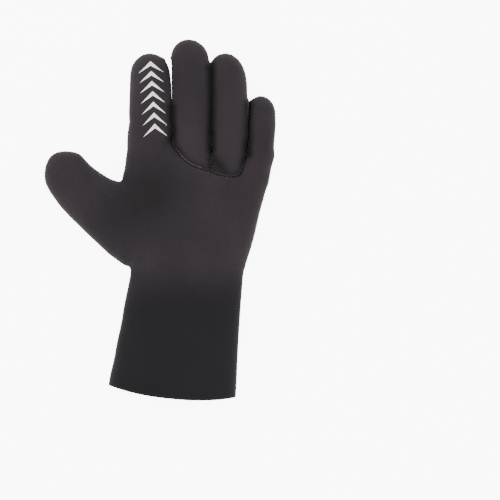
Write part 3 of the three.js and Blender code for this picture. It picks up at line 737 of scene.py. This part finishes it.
# The chevrons. Seven white V marks in thick rubbery ink, screen printed on the back of the index finger:
# each has two straight arms that taper to points, and follows the finger's round back. In the row they
# grow a little taller towards the hand and stand a little closer in its first half.
CHEVRONS = 7
CHEVRON_POINT = (-35.5, 137.1)
CHEVRON_WIDTH, CHEVRON_HEIGHT, CHEVRON_STROKE, CHEVRON_PITCH = 21.5, 12.0, 4.0, 9.4
ROW_LEAN, CHEVRON_TURN = math.radians(4.0), math.radians(2.6)
FIRST_HEIGHT, ROW_GROWTH, ROW_BOW = 0.84, 0.13, 1.2
INK_THICK, INK_ROUND = 0.35, 0.1
INK_CORNER, INK_SMOOTH = math.radians(60), math.radians(40)
ABOVE_HAND, DOWN = 90.0, Vector((0, 0, -1))


def ink():
    """Rubbery white ink, a little uneven where the knit shows through."""
    material, nodes, links, shader = new_finish("white print")
    shader.inputs["Specular IOR Level"].default_value = 0.4
    shade, height = knitted(nodes, 620.0, 160.0)
    colour = toned(nodes, links, shade, ((0.3, (0.74, 0.72, 0.73)), (0.95, (0.9, 0.885, 0.89))))
    links.new(colour, shader.inputs["Base Color"])
    roughened(nodes, links, shade, 0.4, 0.6)
    embossed(nodes, links, height, 0.4, 0.1)
    return material


white_ink = ink()
for number in range(CHEVRONS):
    bpy.ops.object.select_all(action="DESELECT")
    bpy.ops.mesh.primitive_grid_add(x_subdivisions=36, y_subdivisions=3, size=2)
    print_mark = bpy.context.object
    print_mark.name = f"print_chevron_{number + 1}"
    along_row = number / (CHEVRONS - 1)
    height = CHEVRON_HEIGHT * (FIRST_HEIGHT + ROW_GROWTH * along_row)
    down = number * CHEVRON_PITCH - ROW_BOW * math.sin(math.pi * along_row)
    for corner in print_mark.data.vertices:
        along, across = corner.co.x, 0.5 - 0.5 * corner.co.y
        x = 0.5 * CHEVRON_WIDTH * along
        top = -height * abs(along)
        low = -CHEVRON_STROKE - (height - CHEVRON_STROKE) * abs(along)
        y = top + across * (low - top)
        turned_x = x * math.cos(CHEVRON_TURN) - y * math.sin(CHEVRON_TURN)
        turned_y = x * math.sin(CHEVRON_TURN) + y * math.cos(CHEVRON_TURN)
        at_x = CHEVRON_POINT[0] + turned_x + down * math.sin(ROW_LEAN)
        at_y = CHEVRON_POINT[1] + turned_y - down * math.cos(ROW_LEAN)
        corner.co = outside_tree.ray_cast(Vector((at_x, at_y, ABOVE_HAND)), DOWN)[0] * MM
    wall = print_mark.modifiers.new("ink", "SOLIDIFY")
    wall.thickness = INK_THICK * MM
    wall.offset = 0.6
    bpy.ops.object.modifier_apply(modifier=wall.name)
    soft = print_mark.modifiers.new("soft edge", "BEVEL")
    soft.width = INK_ROUND * MM
    soft.segments = 2
    soft.limit_method = "ANGLE"
    soft.angle_limit = INK_CORNER
    bpy.ops.object.modifier_apply(modifier=soft.name)
    bpy.ops.object.shade_smooth_by_angle(angle=INK_SMOOTH)
    print_mark.data.materials.append(white_ink)
    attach(print_mark, "root")
    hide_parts(f"chevron_{number + 1}")

# The seam stitches. Small slanted stitches of black nylon thread cross the groove between two sheets,
# all round the palm, the middle and ring fingers' backs and the gusset, and hold the glued seams.
STITCH_PITCH, STITCH_ACROSS, STITCH_SLANT, STITCH_THICK = 2.5, 2.5, 0.9, 0.24
THREAD_PROUD = 0.35
RUN_ROUNDS, LOOK_AHEAD = 4, 0.8


def thread_finish(name, dark, light):
    """Twisted nylon thread between two colours."""
    material, nodes, links, shader = new_finish(name)
    shader.inputs["Roughness"].default_value = 0.6
    shader.inputs["Sheen Weight"].default_value = 0.15
    where = nodes.new("ShaderNodeTexCoord")
    turned = nodes.new("ShaderNodeMapping")
    turned.inputs["Rotation"].default_value = (0.4, 0.3, 0.7)
    links.new(where.outputs["Object"], turned.inputs["Vector"])
    twist = nodes.new("ShaderNodeTexWave")
    twist.inputs["Scale"].default_value = 900.0
    twist.inputs["Distortion"].default_value = 1.5
    links.new(turned.outputs["Vector"], twist.inputs["Vector"])
    colour = toned(nodes, links, twist.outputs["Fac"], ((0.0, dark), (1.0, light)))
    links.new(colour, shader.inputs["Base Color"])
    embossed(nodes, links, twist.outputs["Fac"], 0.5, 0.1)
    return material


black_thread = thread_finish("black thread", (0.004, 0.004, 0.0045), (0.012, 0.0115, 0.0125))

# One stitch is a long bead of thread, a ball of 36 triangles with its poles on x.
bpy.ops.object.select_all(action="DESELECT")
bpy.ops.mesh.primitive_uv_sphere_add(segments=6, ring_count=4, radius=1)
bead = bpy.context.object
BEAD_POINTS = np.array([v.co for v in bead.data.vertices])[:, [2, 0, 1]]
BEAD_FACES = [list(f.vertices) for f in bead.data.polygons]
bpy.data.objects.remove(bead)


def repeated(name, points, polygons, frames, places, material):
    """One joined mesh of many copies of a small shape, each in its own frame at its own place."""
    every = places[:, None] + np.einsum("vk,nkj->nvj", points, frames)
    copies = np.arange(len(places)) * len(points)
    sides = [[int(first) + corner for corner in polygon] for first in copies for polygon in polygons]
    mesh = bpy.data.meshes.new(name)
    mesh.from_pydata((every.reshape(-1, 3) * MM).tolist(), [], sides)
    made = bpy.data.objects.new(name, mesh)
    bpy.context.collection.objects.link(made)
    mesh.materials.append(material)
    pick(made)
    bpy.ops.object.shade_smooth()
    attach(made, "root")


def sewn(name, starts, ends, thick, material):
    """Stitches from each start to its end, laid on the skin."""
    laid, facings = [], []
    for points in (starts, ends):
        found = [outside_tree.find_nearest(Vector(point)) for point in points]
        laid.append(np.array([hit[0] for hit in found]))
        facings.append(np.array([hit[1] for hit in found]))
    half = 0.5 * (laid[1] - laid[0])
    along = unit(half)
    side = unit(np.cross(facings[0] + facings[1], along))
    up = np.cross(along, side)
    frames = np.stack([half + along * thick, side * thick, up * thick], axis=1)
    places = 0.5 * (laid[0] + laid[1]) + up * thick * THREAD_PROUD
    repeated(name, BEAD_POINTS, BEAD_FACES, frames, places, material)


def runs_of(edges):
    """Loose edges put in order, as open or closed runs of corners."""
    near = {}
    for a, b in edges.tolist():
        near.setdefault(a, []).append(b)
        near.setdefault(b, []).append(a)
    used, runs = set(), []
    for start in sorted(near, key=lambda corner: (len(near[corner]) == 2, corner)):
        for other in near[start]:
            step = (min(start, other), max(start, other))
            if step in used:
                continue
            used.add(step)
            run = [start, other]
            while len(near[run[-1]]) == 2:
                ahead = near[run[-1]][0] if near[run[-1]][1] == run[-2] else near[run[-1]][1]
                step = (min(run[-1], ahead), max(run[-1], ahead))
                if step in used:
                    break
                used.add(step)
                run.append(ahead)
            runs.append(run)
    return runs


def at_lengths(wanted, length, values):
    """What a run of values says at the wanted lengths along it."""
    return np.stack([np.interp(wanted, length, values[:, k]) for k in range(3)], axis=1)


def paced(run, pitch):
    """Places one pitch apart along a run of corners, with the ways along and across the seam there."""
    line, facing = place[run], normal[run]
    for _ in range(RUN_ROUNDS):
        line[1:-1] = (line[:-2] + 2 * line[1:-1] + line[2:]) / 4
    step = np.linalg.norm(np.diff(line, axis=0), axis=1)
    length = np.concatenate([[0], np.cumsum(step)])
    if length[-1] < 2 * pitch:
        return None
    at = np.arange(0.5 * pitch, length[-1], length[-1] / round(length[-1] / pitch))
    along = at_lengths(at + LOOK_AHEAD, length, line) - at_lengths(at - LOOK_AHEAD, length, line)
    along = unit(along)
    across = unit(np.cross(at_lengths(at, length, facing), along))
    return at_lengths(at, length, line), along, across


joins, joined = seam_edges(faces, owner)
SEAMS = {
    "stitches_palm_seam": (joined == PALM).any(axis=1),
    "stitches_finger_backs": (joined != PALM).all(axis=1),
}
for name, chosen in SEAMS.items():
    starts, ends = [], []
    for run in runs_of(joins[chosen]):
        walked = paced(run, STITCH_PITCH)
        if walked:
            spots, along, across = walked
            reach = 0.5 * (STITCH_ACROSS * across + STITCH_SLANT * along)
            starts.append(spots - reach)
            ends.append(spots + reach)
    sewn(name, np.concatenate(starts), np.concatenate(ends), STITCH_THICK, black_thread)

# The foot thread. A thread laid along the seam's finger side finishes the foot of the middle and ring
# fingers' backs. It is grey along the foot of the middle finger, and black along the rest.
LAID_PITCH, LAID_LENGTH, LAID_OFF, LAID_THICK = 1.9, 1.6, 0.95, 0.27
GREY_FROM, GREY_TO = -12.5, 11.0
grey_thread = thread_finish("grey thread", (0.05, 0.046, 0.049), (0.12, 0.112, 0.118))
foot = (joined == BODY).any(axis=1) & (joined != PALM).all(axis=1)
backs = [np.mean(outer[faces[owner == piece]], axis=(0, 1)) for piece in (MIDDLE, RING)]
centre = 0.5 * (backs[0] + backs[1])
starts, ends = [], []
for run in runs_of(joins[foot]):
    walked = paced(run, LAID_PITCH)
    if walked:
        spots, along, across = walked
        towards = np.sign(((centre - spots) * across).sum(axis=1))[:, None]
        spots = spots + towards * across * LAID_OFF
        starts.append(spots - 0.5 * LAID_LENGTH * along)
        ends.append(spots + 0.5 * LAID_LENGTH * along)
starts, ends = np.concatenate(starts), np.concatenate(ends)
grey = (starts[:, 0] > GREY_FROM) & (starts[:, 0] < GREY_TO)
sewn("thread_finger_foot", starts[grey], ends[grey], LAID_THICK, grey_thread)
sewn("thread_ring_foot", starts[~grey], ends[~grey], LAID_THICK, black_thread)

# The side seam's stitches. A wide zigzag of black thread closes the cuff from the hem to the wrist.
# It lies flat on the sheet, on both sides of the cut.
ZIGZAG_WIDTH, ZIGZAG_PITCH, ZIGZAG_THICK, ZIGZAG_START = 4.5, 1.5, 0.2, 1.0


def on_side_seam(y, off):
    """Places along the side seam at each y, moved off it sideways."""
    x = np.interp(y, side_line[:, 1], side_line[:, 0])
    return np.stack([x + off, y, np.interp(y, side_line[:, 1], side_line[:, 2])], axis=1)


zigzag_y = np.arange(side_line[0, 1] + ZIGZAG_START, side_line[-1, 1], 0.5 * ZIGZAG_PITCH)
swing = 0.5 * ZIGZAG_WIDTH * np.where(np.arange(len(zigzag_y)) % 2 == 0, 1, -1)
corners = on_side_seam(zigzag_y, swing)
sewn("stitches_side_seam", corners[:-1], corners[1:], ZIGZAG_THICK, black_thread)

# The bar tack. A short bar of close stitches, side by side across the side seam, locks it at the hem,
# where the cuff is pulled on. It is sewn in the same black thread.
TACK_WIDTH, TACK_PITCH, TACK_COUNT, TACK_THICK, TACK_START = 5.2, 0.62, 16, 0.3, 2.5
tack_y = side_line[0, 1] + TACK_START + TACK_PITCH * np.arange(TACK_COUNT)
left, right = on_side_seam(tack_y, -0.5 * TACK_WIDTH), on_side_seam(tack_y, 0.5 * TACK_WIDTH)
sewn("bar_tack", left, right, TACK_THICK, black_thread)

# The grip print. Raised dots of grey rubber are printed on the palm sheet before it is cut, packed into
# hexagons 13 mm across with plain bands between them, and thinner by the forks of the fingers.
HEX_ACROSS, HEX_BAND = 13.0, 1.1
HEX_ASLANT = math.sqrt(3) / 2
DOT_PITCH, DOT_RADIUS, DOT_HEIGHT = 1.52, 0.46, 0.32
DOT_SIDES, DOT_SUNK, DOT_TOP, DOT_TOP_SHARE = 6, 0.25, 0.9, 0.66
SEAM_CLEAR, FACING_DOWN = 2.2, -0.3
BELOW_HAND, UP = -20.0, Vector((0, 0, 1))
FORKS = np.array([(-17.0, 64.0), (19.0, 64.0), (51.0, 54.0), (-66.0, 30.0)])
FORK_NEAR, FORK_FAR, FORK_SHARE = 8.0, 20.0, 0.55


def grip_rubber():
    """Matt grey rubber, printed unevenly, so that some dots are paler than others."""
    material, nodes, links, shader = new_finish("grip rubber")
    shader.inputs["Specular IOR Level"].default_value = 0.35
    where = nodes.new("ShaderNodeTexCoord")
    fleck = nodes.new("ShaderNodeTexNoise")
    fleck.inputs["Scale"].default_value = 420.0
    fleck.inputs["Detail"].default_value = 3.0
    links.new(where.outputs["Object"], fleck.inputs["Vector"])
    tones = ((0.3, (0.06, 0.057, 0.06)), (0.72, (0.32, 0.315, 0.32)))
    links.new(toned(nodes, links, fleck.outputs["Fac"], tones), shader.inputs["Base Color"])
    roughened(nodes, links, fleck.outputs["Fac"], 0.45, 0.7)
    return material


def from_hexagon(x, y):
    """How far a place lies from the middle of its hexagon, measured across the hexagon's flats."""
    spacing = HEX_ACROSS + HEX_BAND
    line = round(y / (spacing * HEX_ASLANT))
    apart = []
    for near_line in (line - 1, line, line + 1):
        shift = 0.5 * spacing * (near_line % 2)
        dx = abs(x - shift - spacing * round((x - shift) / spacing))
        dy = abs(y - near_line * spacing * HEX_ASLANT)
        apart.append(max(dx, 0.5 * dx + HEX_ASLANT * dy))
    return min(apart)


palm_faces = faces[owner == PALM]
palm_tree = BVHTree.FromPolygons(outer.tolist(), palm_faces.tolist())
palm_low, palm_high = outer[palm_faces.ravel()].min(axis=0), outer[palm_faces.ravel()].max(axis=0)
dot_places, dot_facings, dot_sizes = [], [], []
row_step = DOT_PITCH * HEX_ASLANT
for row in range(int((palm_high[1] - palm_low[1]) / row_step)):
    y = palm_low[1] + row * row_step
    for column in range(int((palm_high[0] - palm_low[0]) / DOT_PITCH)):
        x = palm_low[0] + (column + 0.5 * (row % 2)) * DOT_PITCH
        if from_hexagon(x, y) > 0.5 * HEX_ACROSS - 0.5 * DOT_RADIUS:
            continue
        hit, facing, _, _ = palm_tree.ray_cast(Vector((x, y, BELOW_HAND)), UP)
        if hit is None or facing.z > FACING_DOWN or line_tree.find(hit)[2] < SEAM_CLEAR:
            continue
        apart = np.hypot(*(FORKS - (x, y)).T).min()
        share = min(max((apart - FORK_NEAR) / (FORK_FAR - FORK_NEAR), 0), 1)
        dot_places.append(hit)
        dot_facings.append(facing)
        dot_sizes.append(FORK_SHARE + (1 - FORK_SHARE) * share)
dot_places, dot_facings = np.array(dot_places), np.array(dot_facings)
dot_sizes = np.array(dot_sizes)[:, None]

# One dot is a low six-sided stub with sloping sides and a flat top, of 20 triangles.
turn = np.arange(DOT_SIDES) * math.tau / DOT_SIDES
ring = np.stack([np.cos(turn), np.sin(turn), np.zeros(DOT_SIDES)], axis=1)
DOT_POINTS = np.concatenate([ring - (0, 0, DOT_SUNK), DOT_TOP_SHARE * ring + (0, 0, DOT_TOP)])
foot_corners, top_corners = list(range(DOT_SIDES)), list(range(DOT_SIDES, 2 * DOT_SIDES))
DOT_FACES = [foot_corners[::-1], top_corners]
for k in range(DOT_SIDES):
    ahead = (k + 1) % DOT_SIDES
    DOT_FACES.append([k, ahead, top_corners[ahead], top_corners[k]])
side = unit(np.cross(dot_facings, (0, 1.0, 0)))
fore = np.cross(dot_facings, side)
wide, high = DOT_RADIUS * dot_sizes, DOT_HEIGHT * dot_sizes
frames = np.stack([side * wide, fore * wide, dot_facings * high], axis=1)
repeated("grip_dots", DOT_POINTS, DOT_FACES, frames, dot_places, grip_rubber())

# The studio, with lengths in metres. The plain pale floor glows so that it shows as white paper, but it
# lights the glove less than it shows. Soft lamps stand round, and the camera looks straight down.
VIEW_CENTRE = Vector((0.054, -0.0326, 0.018))
VIEW_WIDTH, CAMERA_HEIGHT = 0.45, 8.0
FLOOR_SIZE, FLOOR_DROP = 6.0, 0.00045
FLOOR_LIGHT, FLOOR_SEEN = 2.6, 8.0
bpy.ops.object.select_all(action="DESELECT")
bpy.ops.mesh.primitive_plane_add(size=FLOOR_SIZE, location=(0, 0, -FLOOR_DROP))
floor = bpy.context.object
floor.name = "floor"
pale, nodes, links, shader = new_finish("pale floor")
shader.inputs["Base Color"].default_value = (0.95, 0.95, 0.95, 1)
shader.inputs["Roughness"].default_value = 0.9
shader.inputs["Emission Color"].default_value = (1, 1, 1, 1)
ray = nodes.new("ShaderNodeLightPath")
glow = nodes.new("ShaderNodeMapRange")
glow.inputs["To Min"].default_value = FLOOR_LIGHT
glow.inputs["To Max"].default_value = FLOOR_SEEN
links.new(ray.outputs["Is Camera Ray"], glow.inputs["Value"])
links.new(glow.outputs[0], shader.inputs["Emission Strength"])
floor.data.materials.append(pale)
LAMPS = [
    ("key", (-0.9, 0.8, 1.6), 1.6, 40.0),
    ("fill", (1.1, -0.3, 1.5), 1.8, 22.0),
    ("front", (0.0, -1.5, 1.0), 1.6, 12.0),
]
for name, spot, size, power in LAMPS:
    light = bpy.data.lights.new(name, "AREA")
    light.size = size
    light.energy = power
    lamp = bpy.data.objects.new(name, light)
    lamp.location = spot
    lamp.rotation_euler = (VIEW_CENTRE - Vector(spot)).to_track_quat("-Z", "Y").to_euler()
    bpy.context.collection.objects.link(lamp)
world = bpy.data.worlds.new("studio")
world.use_nodes = True
world.node_tree.nodes["Background"].inputs["Color"].default_value = (1, 1, 1, 1)
world.node_tree.nodes["Background"].inputs["Strength"].default_value = 0.85
bpy.context.scene.world = world
lens = bpy.data.cameras.new("camera")
lens.sensor_width = 36
lens.lens = lens.sensor_width * CAMERA_HEIGHT / VIEW_WIDTH
camera = bpy.data.objects.new("camera", lens)
camera.location = VIEW_CENTRE + Vector((0, 0, CAMERA_HEIGHT))
bpy.context.collection.objects.link(camera)
bpy.context.scene.camera = camera
